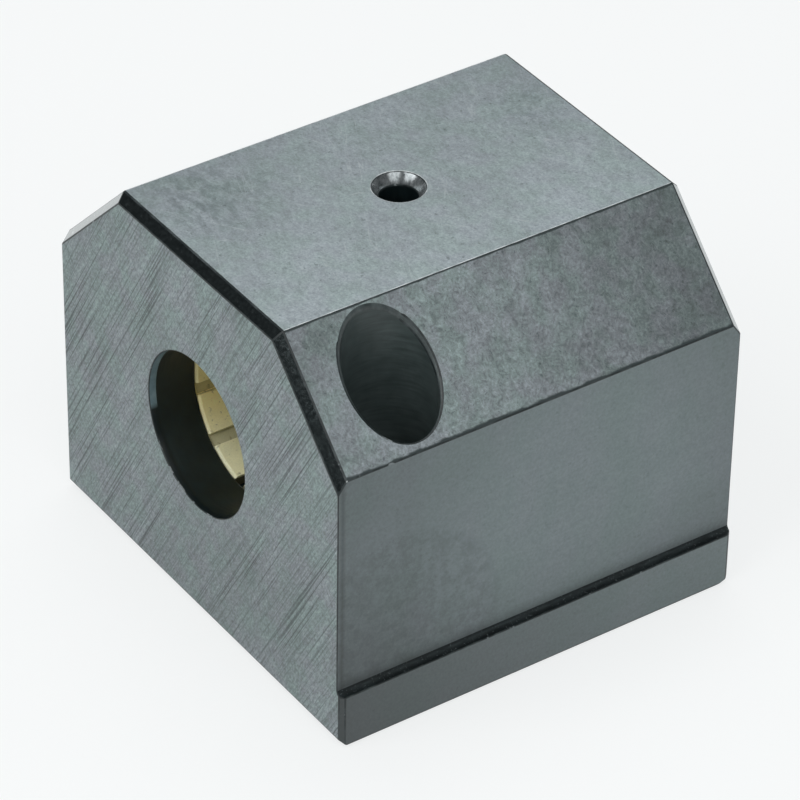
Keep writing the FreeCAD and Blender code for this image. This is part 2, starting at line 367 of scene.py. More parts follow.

# %% [markdown]
# ## Which surface has which finish
#
# A block like this is finished first and cut afterwards, so its faces don't match. The outside keeps a
# clouded grey skin, the end chamfers are bright bare cuts, and the bores are painted dark, a painted
# shade. Each face of the mesh gets a material slot from where it lies and which way it faces.

# %% List the finishes
FINISHES = [
    "milled_end",
    "top_skin",
    "slope_skin",
    "wall_skin",
    "ledge_skin",
    "bright_cut",
    "ledge_corner",
    "screw_bore",
    "lip_bore",
    "mouth_band",
    "rim_break",
    "countersink_cone",
    "edge_light",
    "edge_dark",
]
for finish_name in FINISHES:
    housing.data.materials.append(bpy.data.materials.new(finish_name))
print("finishes on the housing:", len(housing.data.materials))


# %% Say which face has which finish
def off_axis(middle):
    """How far a place is from the shaft's centre line."""
    return math.hypot(middle.x, middle.z - SHAFT_AXIS.z)


def house_finish(face):
    middle, facing = face.center, face.normal
    in_screw = off_screw(middle) < COUNTERBORE_RADIUS + NEAR
    on_the_rim = off_screw(middle) < COUNTERBORE_RADIUS + RIM_BREAK and middle.z > SLOPE_FOOT_Z
    in_top_hole = math.hypot(middle.x, middle.y) < COUNTERSINK_RADIUS and middle.z > SHAFT_AXIS.z
    upright = abs(facing.z) < 1 - SQUARE_TO
    sloping = 0.6 < facing.z < 0.8 and abs(facing.y) < 1 - SQUARE_TO
    if abs(facing.y) > SQUARE_TO and close(abs(middle.y), END_Y):
        return "milled_end"
    if facing.z > SQUARE_TO and close(middle.z, TOP_Z):
        return "top_skin"
    if in_top_hole and 0.4 < facing.z < 0.8:
        return "countersink_cone"
    if in_top_hole and upright:
        return "lip_bore"
    if in_screw and (upright or close(middle.z, COUNTERBORE_FLOOR_Z)):
        return "screw_bore"
    if on_the_rim and not close(abs(middle.x) + middle.z, WALL_X + SLOPE_FOOT_Z):
        return "rim_break"
    if off_axis(middle) < LIP_RADIUS + NEAR and abs(middle.y) > END_Y - MOUTH_BAND:
        return "mouth_band"
    if off_axis(middle) < SEAT_RADIUS + NEAR and abs(middle.y) < END_Y:
        return "lip_bore"
    if sloping and abs(middle.x) > SLOPE_HEAD_X and middle.z > SLOPE_FOOT_Z:
        return "slope_skin"
    if middle.x > WALL_X + NEAR and facing.x > 0.6 and middle.z < LEDGE_Z - NEAR:
        return "ledge_skin"
    if abs(facing.x) > SQUARE_TO:
        return "wall_skin"
    if middle.x > WALL_X and middle.z > LEDGE_Z - NEAR:
        return "ledge_corner"
    if facing.z < -SQUARE_TO:
        return "milled_end"
    return "bright_cut"


# %% Sort the faces by finish
for face in housing.data.polygons:
    face.material_index = FINISHES.index(house_finish(face))
for finish_name in FINISHES:
    count = sum(face.material_index == FINISHES.index(finish_name) for face in housing.data.polygons)
    print(finish_name, "covers", count, "faces")

# %% [markdown]
# ## Edges that catch the light
#
# No machined edge is perfectly sharp. A Bevel modifier rounds every edge over 30 degrees by about an
# eighth of a millimetre, in two narrow strips. Beside the top and round the hole rims the strips are
# rubbed bright, with a painted highlight, and elsewhere dirt has settled on them, so they are sorted once
# more. Weighted normals keep the large flat faces flat beside the small rounds.

# %% Round the edges
EDGE_ROUND = 0.13 * MM
SHARP_OVER = math.radians(30)
CLEAR_OF_TOP_X = 17 * MM        # just outside the head of the slopes


def round_edges(piece, width, material_index):
    take_up(piece)
    rounding = piece.modifiers.new("EdgeRound", "BEVEL")
    rounding.limit_method = "ANGLE"
    rounding.angle_limit = SHARP_OVER
    rounding.width = width
    rounding.segments = 2
    rounding.use_clamp_overlap = False
    rounding.material = material_index
    bpy.ops.object.modifier_apply(modifier=rounding.name)
    faces = len(piece.data.polygons)
    print(piece.name, "has", faces, "faces after rounding,", open_edges(piece), "open edges")


def edge_finish(face):
    """Light for the strips that are rubbed bare, with a painted highlight, and dark for the others."""
    middle, facing = face.center, face.normal
    over_the_edge = abs(facing.y) < 0.1 and facing.z > 0.9 and middle.z > TOP_Z - EDGE_ROUND
    hole_rim = math.hypot(middle.x, middle.y) < COUNTERSINK_RADIUS + 2 * EDGE_ROUND and facing.z > 0.8
    chamfer_side = close(middle.y, EDGE_ROUND / 2 + END_CHAMFER - END_Y) and middle.z < TOP_Z - END_CHAMFER
    slope_side = chamfer_side and middle.x > CLEAR_OF_TOP_X and facing.y > -0.4
    return "edge_light" if over_the_edge or hole_rim or slope_side else "edge_dark"


round_edges(housing, EDGE_ROUND, FINISHES.index("edge_dark"))
for face in housing.data.polygons:
    if face.material_index == FINISHES.index("edge_dark"):
        face.material_index = FINISHES.index(edge_finish(face))
rubbed_and_highlit_faces = sum(face.material_index == FINISHES.index("edge_light") for face in housing.data.polygons)
print("rubbed bare:", rubbed_and_highlit_faces, "faces of the rounds")

# %% [markdown]
# ## The liner
#
# The liner is a moulded polymer sleeve, slit along its length so that it can be squeezed and snapped
# between the lips of the housing. Ten lands touch the shaft, with grooves between them that catch dirt.
# A sleeve is turned from a ring, one groove cutter is made, and turned copies of it cut the other
# grooves at even steps from the slit.

# %% Turn the sleeve
LINER_RADIUS = liner_high.x
LINER_EDGE = 0.3 * MM
LINER_EDGE_ROUND = 0.06 * MM
LAND_COUNT = 10
GROOVE_WIDTH = 1.55 * MM
GROOVE_DEPTH = 0.5 * MM
SLIT_WIDTH = 1.6 * MM
SLIT_TURN = math.radians(5.5)
PEG_RADIUS = 2.15 * MM
PEG_ROOT = 0.5 * MM             # how far the peg reaches into the sleeve
LINER_END = liner_high.y

liner = turned_tool("liner_sleeve", SHAFT_AXIS, (0, 1, 0), [
    (-LINER_END, LINER_RADIUS - LINER_EDGE),
    (-LINER_END + LINER_EDGE, LINER_RADIUS),
    (LINER_END - LINER_EDGE, LINER_RADIUS),
    (LINER_END, LINER_RADIUS - LINER_EDGE),
], sides=180)
hollow_tool = turned_tool("hollow_tool", SHAFT_AXIS, (0, 1, 0), [
    (-LINER_END - LINER_EDGE, LAND_RADIUS + 2 * LINER_EDGE),
    (-LINER_END + LINER_EDGE, LAND_RADIUS),
    (LINER_END - LINER_EDGE, LAND_RADIUS),
    (LINER_END + LINER_EDGE, LAND_RADIUS + 2 * LINER_EDGE),
], sides=180)
cut_with(liner, hollow_tool)


# %% Cut the grooves and the slit
def slot_tool(name, width, inner, outer, turn):
    """A bar along the shaft, below the axis, then turned clockwise to its place, as seen from the front."""
    put_down_all()
    bpy.ops.mesh.primitive_cube_add(
        size=1,
        location=SHAFT_AXIS - Vector((0, 0, (inner + outer) / 2)),
        scale=(width, 2 * LINER_END + 2 * MM, outer - inner),
    )
    tool = bpy.context.object
    tool.name = name
    fix_place()
    bpy.ops.object.mode_set(mode="EDIT")
    bpy.ops.mesh.select_all(action="SELECT")
    bpy.ops.transform.rotate(value=-turn, orient_axis="Y", center_override=SHAFT_AXIS)
    bpy.ops.object.mode_set(mode="OBJECT")
    return tool


for step in range(1, LAND_COUNT):
    turn = SLIT_TURN + step * 2 * math.pi / LAND_COUNT
    groove_tool = slot_tool("groove_tool", GROOVE_WIDTH, LAND_RADIUS - MM, LAND_RADIUS + GROOVE_DEPTH, turn)
    cut_with(liner, groove_tool)
cut_with(liner, slot_tool("slit_tool", SLIT_WIDTH, LAND_RADIUS - MM, LINER_RADIUS + MM, SLIT_TURN))

# %% Add the peg and round the edges
peg = turned_tool("peg", Vector((0, 0, 0)), (0, 0, 1), [
    (SHAFT_AXIS.z + LINER_RADIUS - PEG_ROOT, PEG_RADIUS),
    (liner_high.z, PEG_RADIUS),
], sides=48)
cut_with(liner, peg, "UNION")
CLEAR_OF_LAND = 0.1 * MM
LINER_FINISHES = ["polymer_land", "polymer_groove", "polymer_edge"]
for finish_name in LINER_FINISHES:
    liner.data.materials.append(bpy.data.materials.new(finish_name))
for face in liner.data.polygons:
    in_groove = LAND_RADIUS + CLEAR_OF_LAND < off_axis(face.center) < LAND_RADIUS + GROOVE_DEPTH + NEAR
    if in_groove and abs(face.normal.y) < 0.1:
        face.material_index = LINER_FINISHES.index("polymer_groove")
round_edges(liner, LINER_EDGE_ROUND, LINER_FINISHES.index("polymer_edge"))

# %% Smooth the rounds and keep the flats flat
SMOOTH_BELOW = math.radians(32)
for piece in (housing, liner):
    take_up(piece)
    bpy.ops.object.shade_smooth_by_angle(angle=SMOOTH_BELOW)
    weighting = piece.modifiers.new("FlatFaces", "WEIGHTED_NORMAL")
    weighting.keep_sharp = True
    weighting.weight = 90
    bpy.ops.object.modifier_apply(modifier=weighting.name)
    print(piece.name, "vertices:", len(piece.data.vertices))

# %% Put both pieces on the one body
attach(housing, "root")
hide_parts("housing")
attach(liner, "root")
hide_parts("liner")
print("the housing and the liner take the places of their solids")

# %% [markdown]
# ## Materials
#
# A printed skin could be wrapped round the block, but it would stretch at the corners and blur close up.
# So the materials are built from nodes. Each reads the object's own coordinates, turned into millimetres,
# so that a scratch keeps its size and its place on the metal.

# %% A small kit for making finishes
NOISE_LOW, NOISE_HIGH = 0.3, 0.7        # most of a noise lies between these


class Finish:
    """A procedural material under way: its nodes, its shader and the object's coordinates in millimetres."""

    def __init__(self, name, **sockets):
        self.material = bpy.data.materials[name]
        self.material.use_nodes = True
        self.nodes = self.material.node_tree.nodes
        self.links = self.material.node_tree.links
        self.shader = next(node for node in self.nodes if node.type == "BSDF_PRINCIPLED")
        for socket, value in sockets.items():
            self.shader.inputs[socket.replace("_", " ")].default_value = value
        place = self.nodes.new("ShaderNodeTexCoord")
        self.place = self.mapped(place.outputs["Object"], scale=(1000, 1000, 1000))

    def join(self, source, target):
        self.links.new(source, target)

    def mapped(self, vector, **settings):
        """The coordinates turned or stretched by a Mapping node."""
        mapping = self.nodes.new("ShaderNodeMapping")
        for name, value in settings.items():
            mapping.inputs[name.capitalize()].default_value = value
        self.join(vector, mapping.inputs["Vector"])
        return mapping.outputs["Vector"]

    def noise(self, vector, per_mm, detail=2.0, roughness=0.5, distortion=0.0):
        """A cloudy pattern: its clouds to the millimetre, its detail, how rough and how twisted it is."""
        node = self.nodes.new("ShaderNodeTexNoise")
        node.inputs["Scale"].default_value = per_mm
        node.inputs["Detail"].default_value = detail
        node.inputs["Roughness"].default_value = roughness
        node.inputs["Distortion"].default_value = distortion
        self.join(vector, node.inputs["Vector"])
        return node.outputs["Fac"]

    def number(self, operation, first, second=None):
        """Plain arithmetic on one or two values."""
        node = self.nodes.new("ShaderNodeMath")
        node.operation = operation
        for index, item in enumerate((first, second)):
            if isinstance(item, bpy.types.NodeSocket):
                self.join(item, node.inputs[index])
            elif item is not None:
                node.inputs[index].default_value = item
        return node.outputs[0]

    def along(self, axis):
        """The place along X, Y or Z, in millimetres."""
        node = self.nodes.new("ShaderNodeSeparateXYZ")
        self.join(self.place, node.inputs[0])
        return node.outputs[axis]

    def away_from(self, spot):
        """How far the surface is from a spot, in millimetres."""
        node = self.nodes.new("ShaderNodeVectorMath")
        node.operation = "DISTANCE"
        self.join(self.place, node.inputs[0])
        node.inputs[1].default_value = spot
        return node.outputs["Value"]

    def thread(self, value, at, width):
        """One along the line where the value passes a number, and zero a little way off."""
        gap = self.number("ABSOLUTE", self.number("SUBTRACT", value, at))
        return self.spread(gap, 0, width, 1, 0)

    def spread(self, value, low, high, to_low, to_high):
        """Stretch a value from one range to another, held at both ends."""
        node = self.nodes.new("ShaderNodeMapRange")
        for name, number in (("From Min", low), ("From Max", high), ("To Min", to_low), ("To Max", to_high)):
            node.inputs[name].default_value = number
        self.join(value, node.inputs["Value"])
        return node.outputs["Result"]

    def vary(self, noise, to_low, to_high):
        """Stretch a noise to a range of its own."""
        return self.spread(noise, NOISE_LOW, NOISE_HIGH, to_low, to_high)

    def mix(self, amount, first, second, kind="MIX"):
        """Mix two colours. Each may be a socket or a plain colour, and the amount a socket or a number."""
        node = self.nodes.new("ShaderNodeMix")
        node.data_type = "RGBA"
        node.blend_type = kind
        for index, item in ((0, amount), (6, first), (7, second)):
            if isinstance(item, bpy.types.NodeSocket):
                self.join(item, node.inputs[index])
            elif index:
                node.inputs[index].default_value = (*item, 1)
            else:
                node.inputs[index].default_value = item
        return node.outputs[2]

    def shade(self, colour, value):
        """Multiply a colour by a grey value."""
        return self.mix(1.0, colour, value, "MULTIPLY")

    def relief(self, height, depth_mm, strength=1.0, under=None):
        """Small ups and downs, on top of those of another relief if one is given."""
        node = self.nodes.new("ShaderNodeBump")
        node.inputs["Strength"].default_value = strength
        node.inputs["Distance"].default_value = depth_mm * MM
        self.join(height, node.inputs["Height"])
        if under:
            self.join(under, node.inputs["Normal"])
        return node.outputs["Normal"]

    def wear(self, colour=None, roughness=None, normal=None):
        """Plug the finished colour, roughness and relief into the shader."""
        for socket, source in (("Base Color", colour), ("Roughness", roughness), ("Normal", normal)):
            if source:
                self.join(source, self.shader.inputs[socket])
        print(self.material.name, "is made of", len(self.nodes), "nodes")


# %% [markdown]
# ## The skins of the block
#
# The grey isn't one grey. It drifts between a green cast and a violet one, and it is clouded by oil and
# handling. The two ends keep the slanting marks of the face mill: fine hair lines everywhere, with darker
# cuts in bundles over them, and lighter cuts, a painted highlight of their relief. Each is the same kind
# of noise, stretched along the cut.

# %% Marks of the face mill
CUT_ANGLE = math.radians(59)

ends = Finish("milled_end", Roughness=0.5)
cut_way = ends.mapped(ends.place, rotation=(0, CUT_ANGLE, 0))


def cut_lines(per_mm, length, low, high):
    """Thin lines that run along the cutter's way, where a long stretched noise peaks."""
    stretched = ends.mapped(cut_way, scale=(length, 1, 1))
    return ends.spread(ends.noise(stretched, per_mm, 1, 0.4), low, high, 0, 1)


bundles = ends.noise(ends.mapped(cut_way, scale=(0.15, 1, 1)), 0.3, 2, 0.5)
dense = ends.spread(bundles, 0.4, 0.6, 0.4, 1)
dark_cuts = ends.number("MAXIMUM", cut_lines(6.5, 0.007, 0.59, 0.67), cut_lines(4.6, 0.011, 0.63, 0.69))
dark_cuts = ends.number("MULTIPLY", dark_cuts, dense)
# The lighter cuts are a painted highlight: the lit side of the marks' relief, put into the colour.
highlit_cuts = ends.number("MAXIMUM", cut_lines(6.5, 0.007, 0.4, 0.32), cut_lines(4.6, 0.011, 0.37, 0.31))
highlit_cuts = ends.number("MULTIPLY", highlit_cuts, dense)
hair_lines = ends.noise(ends.mapped(cut_way, scale=(0.05, 1, 1)), 5.5, 1, 0.5)
print("the mill's marks take", len(ends.nodes), "nodes")

# %% Colour of the milled ends
GREY_GREEN = (0.204, 0.262, 0.256)
GREY_VIOLET = (0.226, 0.256, 0.272)
LIT_CUT = (1.2, 1.2, 1.2)
DARK_CUT = (0.36, 0.39, 0.39)
BARE_METAL = (0.5, 0.54, 0.54)
BELOW_THE_BORE = (6, -27.75, 9)         # places are in millimetres, as in all the finishes
clouds = ends.noise(ends.place, 0.09, 3, 0.55)
hue = ends.noise(ends.place, 0.22, 2)
grain = ends.noise(ends.mapped(cut_way, scale=(0.6, 1, 1)), 3.4, 3, 0.75)
specks = ends.noise(ends.place, 2.6, 1, 0.5)
colour = ends.mix(ends.spread(hue, 0.4, 0.6, 0, 1), GREY_GREEN, GREY_VIOLET)
colour = ends.shade(colour, ends.vary(clouds, 0.88, 1.1))
colour = ends.shade(colour, ends.vary(hair_lines, 0.93, 1.07))
colour = ends.shade(colour, ends.vary(grain, 0.52, 1.48))
# Painted shade: the end grows darker round a spot below the bore.
colour = ends.shade(colour, ends.spread(ends.away_from(BELOW_THE_BORE), 3, 20, 0.85, 1.03))
colour = ends.mix(highlit_cuts, colour, ends.shade(colour, LIT_CUT))
colour = ends.mix(dark_cuts, colour, ends.shade(colour, DARK_CUT))
colour = ends.mix(ends.spread(specks, 0.75, 0.8, 0, 0.6), colour, BARE_METAL)
print("with their colour,", len(ends.nodes))

# %% A curved scar near the front's left edge
SCAR_DIRT = (0.05, 0.065, 0.066)
SCAR_CENTRE = (-30.6, -27.75, 32.2)
SCAR_MIDDLE = (-27.4, -27.75, 35.2)
SCAR_RADIUS = 4.4
scar = ends.thread(ends.away_from(SCAR_CENTRE), SCAR_RADIUS, 0.14)
scar = ends.number("MULTIPLY", scar, ends.spread(ends.away_from(SCAR_MIDDLE), 1.2, 1.7, 0.8, 0))
colour = ends.mix(scar, colour, SCAR_DIRT)
line_relief = ends.relief(ends.number("SUBTRACT", highlit_cuts, dark_cuts), 0.006, 0.5)
ends.wear(colour, ends.vary(grain, 0.42, 0.58), ends.relief(grain, 0.012, 0.3, line_relief))

# %% Top
TOP_GREEN = (0.256, 0.308, 0.31)
TOP_VIOLET = (0.27, 0.307, 0.326)
top = Finish("top_skin", Roughness=0.5)
mottle = top.noise(top.mapped(top.place, rotation=(0, 0, 0.5), scale=(0.6, 1, 1)), 1.3, 4, 0.72, 0.4)
speckle = top.noise(top.place, 3.4, 3, 0.75)
cloud = top.noise(top.place, 0.13, 3, 0.6)
hue = top.noise(top.place, 0.24, 2)
colour = top.mix(top.spread(hue, 0.4, 0.6, 0, 1), TOP_GREEN, TOP_VIOLET)
colour = top.shade(colour, top.spread(top.along("X"), -17, 17, 0.91, 1.09))
colour = top.shade(colour, top.vary(cloud, 0.93, 1.08))
colour = top.shade(colour, top.vary(mottle, 0.82, 1.14))
colour = top.shade(colour, top.vary(speckle, 0.76, 1.22))
print("the plain top takes", len(top.nodes), "nodes")

# %% Stains and rubs on the top
SMEARED = (0.7, 0.72, 0.72)
STAINED = (0.76, 0.78, 0.78)
DIRTY = (0.5, 0.52, 0.52)
RUBBED_METAL = (0.42, 0.46, 0.47)
EDGE_DIRT = (0.03, 0.042, 0.043)
FRONT_SMEAR = (-10, -20, 49.8)
REAR_STAIN = (-5, 23, 49.8)
smear = top.mapped(top.place, rotation=(0, 0, math.radians(-20)), scale=(0.45, 1, 1))
blotch = top.number("MULTIPLY", top.spread(top.away_from(FRONT_SMEAR), 2, 11, 1, 0),
                    top.spread(top.noise(smear, 0.9, 3, 0.7), 0.42, 0.58, 0, 1))
colour = top.mix(blotch, colour, top.shade(colour, SMEARED))
rear_stain = top.number("MULTIPLY", top.spread(top.away_from(REAR_STAIN), 2, 8, 1, 0),
                        top.spread(top.noise(top.place, 0.6, 4, 0.7), 0.4, 0.6, 0, 1))
colour = top.mix(rear_stain, colour, top.shade(colour, STAINED))
dirt = top.noise(top.place, 1.3, 4, 0.65)
colour = top.mix(top.spread(dirt, 0.63, 0.69, 0, 0.8), colour, top.shade(colour, DIRTY))
for turn_degrees, spacing, at in ((24, 0.8, 0.42), (-38, 0.7, 0.6)):
    way = top.mapped(top.place, rotation=(0, 0, math.radians(turn_degrees)))
    rubs = top.thread(top.noise(top.mapped(way, scale=(0.08, 1, 1)), spacing, 1, 0.5), at, 0.012)
    where = top.spread(top.noise(way, 0.12, 2, 0.5), 0.5, 0.62, 0, 0.4)
    colour = top.mix(top.number("MULTIPLY", rubs, where), colour, RUBBED_METAL)
ragged = top.noise(top.place, 1.0, 3, 0.65)
front_line = top.number("ADD", top.spread(top.along("Y"), -26.7, -26.2, 1, 0), ragged)
colour = top.mix(top.spread(front_line, 1.1, 1.3, 0, 1), colour, EDGE_DIRT)
top.wear(colour, top.vary(speckle, 0.44, 0.56), top.relief(mottle, 0.012, 0.3))

# %% Slopes
SLOPE_GREEN = (0.184, 0.228, 0.225)
SLOPE_VIOLET = (0.2, 0.224, 0.238)
PITTED = (0.42, 0.44, 0.44)
SLOPE_FRONT_HEAD = (18, -25, 48)

slope = Finish("slope_skin", Roughness=0.5)
mottle = slope.noise(slope.place, 1.0, 5, 0.75, 1.2)
speckle = slope.noise(slope.place, 3.4, 3, 0.75)
cloud = slope.noise(slope.place, 0.2, 3, 0.6)
hue = slope.noise(slope.place, 0.3, 2)
pits = slope.noise(slope.place, 1.7, 3, 0.65)
colour = slope.mix(slope.spread(hue, 0.4, 0.6, 0, 1), SLOPE_GREEN, SLOPE_VIOLET)
# Painted shade: the slope grows darker towards the rear.
colour = slope.shade(colour, slope.spread(slope.along("Y"), -4, 22, 1.08, 0.68))
colour = slope.shade(colour, slope.spread(slope.away_from(SLOPE_FRONT_HEAD), 2, 10, 0.8, 1.0))
colour = slope.shade(colour, slope.vary(cloud, 0.84, 1.14))
colour = slope.shade(colour, slope.vary(mottle, 0.58, 1.42))
colour = slope.shade(colour, slope.vary(speckle, 0.7, 1.28))
colour = slope.mix(slope.spread(pits, 0.62, 0.67, 0, 0.85), colour, slope.shade(colour, PITTED))
print("the plain slope takes", len(slope.nodes), "nodes")

# %% Dirt along the foot and the head of the slopes
ragged = slope.noise(slope.mapped(slope.place, scale=(1, 0.35, 1)), 1.1, 3, 0.65)
foot_line = slope.spread(slope.along("Z"), 37.15, 37.75, 1, 0)
foot_line = slope.spread(slope.number("ADD", foot_line, ragged), 0.95, 1.2, 0, 1)
head_line = slope.spread(slope.along("Z"), 49.45, 49.7, 0, 1)
head_line = slope.spread(slope.number("ADD", head_line, ragged), 1.05, 1.3, 0, 1)
colour = slope.mix(slope.number("MAXIMUM", foot_line, head_line), colour, EDGE_DIRT)
slope.wear(colour, slope.vary(speckle, 0.45, 0.58), slope.relief(mottle, 0.02, 0.3))

# %% [markdown]
# ## Walls and ledge
#
# The walls were drawn smooth with the bar. Their grey is quiet, lightest in the middle, a painted light, and
# darker towards the ledge and the front, a painted shade, with a few blots of oil low at the front. The ledge
# was milled on its own, so it keeps a tone of its own.

# %% Helpers for the walls
WALL_SPECK = (0.72, 0.74, 0.74)


def drawn_skin(name, dark, light, shades):
    """Smooth grey: two close tones drifting along the bar, and shades that lie across them."""
    finish = Finish(name, Roughness=0.45)
    drift = finish.noise(finish.mapped(finish.place, scale=(1, 1, 0.6)), 0.14, 3, 0.5)
    grain = finish.noise(finish.place, 2.6, 3, 0.65)
    streaks = finish.noise(finish.mapped(finish.place, scale=(1, 0.12, 1)), 1.2, 2, 0.6)
    colour = finish.mix(finish.spread(drift, 0.35, 0.65, 0, 1), dark, light)
    for value in shades(finish):
        colour = finish.shade(colour, value)
    colour = finish.shade(colour, finish.vary(grain, 0.87, 1.12))
    specks = finish.spread(finish.noise(finish.place, 1.4, 4, 0.7), 0.6, 0.68, 0, 0.6)
    colour = finish.mix(specks, colour, finish.shade(colour, WALL_SPECK))
    colour = finish.shade(colour, finish.vary(streaks, 0.97, 1.03))
    finish.wear(colour, finish.vary(grain, 0.42, 0.48), finish.relief(grain, 0.006, 0.2))


def above_the_ledge(wall, low, high, dark):
    """A painted shade that fades upwards from the ledge, on the ledge's own side of the block only."""
    other_side = wall.spread(wall.along("X"), -1, 1, 1, 0)
    return wall.number("MAXIMUM", wall.spread(wall.along("Z"), low, high, dark, 1), other_side)


# %% Walls
WALL_DARK = (0.172, 0.216, 0.217)
WALL_LIGHT = (0.19, 0.224, 0.236)
WALL_CENTRE = (29.1, 6, 22)
WALL_FRONT_FOOT = (29.1, -24, 10)
WALL_OIL = (29.1, -20, 12)
drawn_skin("wall_skin", WALL_DARK, WALL_LIGHT, lambda wall: (
    # painted light, lightest in the middle, and painted shade, duller at the front foot
    wall.spread(wall.away_from(WALL_CENTRE), 12, 36, 1.12, 0.74),
    wall.spread(wall.away_from(WALL_FRONT_FOOT), 2, 14, 0.8, 1.0),
    # painted shade in the corner above the ledge, a wide band and a narrow one
    above_the_ledge(wall, 7, 17, 0.84),
    above_the_ledge(wall, 8.1, 9.6, 0.72),
    # a faint upright stripe
    wall.spread(wall.thread(wall.along("Y"), -18.3, 2.6), 0, 1, 1.0, 0.94),
    # blots of oil, in one place only
    wall.number("MAXIMUM", wall.spread(wall.noise(wall.place, 0.55, 5, 0.72), 0.42, 0.58, 0.8, 1),
                wall.spread(wall.away_from(WALL_OIL), 7, 15, 0, 1)),
    # darker along the front edge
    wall.spread(wall.thread(wall.along("Y"), -27.1, 0.5), 0, 1, 1.0, 0.6),
))

# %% Ledge
LEDGE_DARK = (0.162, 0.202, 0.203)
LEDGE_LIGHT = (0.18, 0.21, 0.218)
drawn_skin("ledge_skin", LEDGE_DARK, LEDGE_LIGHT, lambda ledge: (
    # painted shade: darker towards the front, and darkest on its end
    ledge.spread(ledge.along("Y"), -28, 14, 0.42, 1.0),
    ledge.spread(ledge.along("Y"), -27.35, -27.1, 0.6, 1.0),
))

# %% [markdown]
# ## Bare cuts and dark bores
#
# The end chamfers and the countersink are bare metal with a fine, even polish, so they mirror the room:
# black where it is dark and white where the paper floor shows. The bores are rougher, and their dark
# colour is a painted shade, so they stay dark from any side. Rings around them are left by the drill. The
# narrow rounds of the edges are rubbed to bare metal in a few places, with a painted highlight there, and
# dirt fills the others.

# %% Chamfers
CUT_DULL = (0.12, 0.152, 0.157)
CUT_CLEAN = (0.21, 0.255, 0.26)
CUT_FLECK = (0.42, 0.47, 0.48)
bright = Finish("bright_cut", Metallic=1.0, Coat_Weight=1.0, Coat_Roughness=0.1, Coat_IOR=1.6)
drag = bright.noise(bright.place, 2.2, 3, 0.6)
flecks = bright.noise(bright.mapped(bright.place, scale=(0.5, 0.5, 1)), 2.6, 2, 0.7)
bare = bright.mix(bright.spread(drag, 0.35, 0.7, 0, 1), CUT_DULL, CUT_CLEAN)
bare = bright.mix(bright.spread(flecks, 0.62, 0.68, 0, 0.8), bare, CUT_FLECK)
bright.wear(bare, bright.vary(drag, 0.14, 0.24), bright.relief(drag, 0.004, 0.2))

# %% Corner above the ledge
# The corner above the ledge is painted shade, nearly black, with a lighter line along the middle of its
# round, painted light, and specks of grit.
CORNER_SHADE_BLACK = (0.002, 0.0045, 0.005)
CORNER_SHADE_GREY = (0.009, 0.0145, 0.0155)
CORNER_LIT_LINE = (0.026, 0.035, 0.037)
GRIT = (0.09, 0.105, 0.108)
corner = Finish("ledge_corner", Roughness=0.55, Specular_IOR_Level=0.25)
shade_mottle = corner.noise(corner.mapped(corner.place, scale=(1, 0.25, 1)), 1.6, 3, 0.6)
grit = corner.noise(corner.place, 3.5, 2, 0.7)
painted_corner_shade = corner.mix(corner.spread(shade_mottle, 0.4, 0.7, 0, 1), CORNER_SHADE_BLACK, CORNER_SHADE_GREY)
painted_lit_line = corner.number("MULTIPLY", corner.thread(corner.along("Z"), 7.6, 0.28),
                          corner.spread(shade_mottle, 0.3, 0.6, 0.2, 1))
painted_corner_shade = corner.mix(painted_lit_line, painted_corner_shade, CORNER_LIT_LINE)
painted_corner_shade = corner.mix(corner.spread(grit, 0.62, 0.68, 0, 0.7), painted_corner_shade, GRIT)
corner.wear(painted_corner_shade, corner.vary(shade_mottle, 0.5, 0.62), corner.relief(shade_mottle, 0.02, 0.3))


# %% Bores
def dark_bore(name, deep_shade, wear_and_shade, stretch):
    """Metal between two close tones, painted dark as a painted shade, with rings round the hole, and lighter
    low down, a painted light.
    """
    finish = Finish(name, Roughness=0.45)
    rings = finish.noise(finish.mapped(finish.place, scale=stretch), 3.0, 2, 0.6)
    patches = finish.noise(finish.place, 0.4, 3, 0.6)
    colour = finish.mix(finish.spread(patches, 0.35, 0.7, 0, 1), deep_shade, wear_and_shade)
    colour = finish.shade(colour, finish.vary(rings, 0.8, 1.2))
    # Painted light: lighter low down, towards the floor of the hole.
    colour = finish.shade(colour, finish.spread(finish.along("Z"), 20, 32, 1.45, 1.0))
    finish.wear(colour, finish.vary(rings, 0.4, 0.52), finish.relief(rings, 0.015, 0.3))


dark_bore("screw_bore", deep_shade=(0.044, 0.06, 0.059), wear_and_shade=(0.06, 0.078, 0.077), stretch=(0.1, 0.1, 1))
dark_bore("lip_bore", deep_shade=(0.002, 0.0058, 0.0066), wear_and_shade=(0.004, 0.0105, 0.012), stretch=(0.1, 1, 0.1))

# %% Mouth of the bore
# The mouth band is painted lit and shaded: blue-grey high on the left, where light falls on the lip, and a
# painted shadow, nearly black, elsewhere.
MOUTH_SHADE_BLACK = (0.0035, 0.009, 0.0105)
MOUTH_LIT_BLUE = (0.11, 0.175, 0.2)
MOUTH_LIT_PALE = (0.19, 0.27, 0.3)
band = Finish("mouth_band", Roughness=0.35)
film = band.noise(band.place, 0.8, 3, 0.6)
lit_upper = band.number("MULTIPLY", band.spread(band.along("Z"), 23.2, 23.9, 0, 1),
                    band.spread(band.along("X"), -6, -2, 1, 0))
lit_blue_grey = band.mix(band.vary(film, 0, 1), MOUTH_LIT_BLUE, MOUTH_LIT_PALE)
lit_and_shaded = band.mix(lit_upper, MOUTH_SHADE_BLACK, lit_blue_grey)
band.wear(lit_and_shaded, band.vary(film, 0.3, 0.45), band.relief(film, 0.01, 0.3))

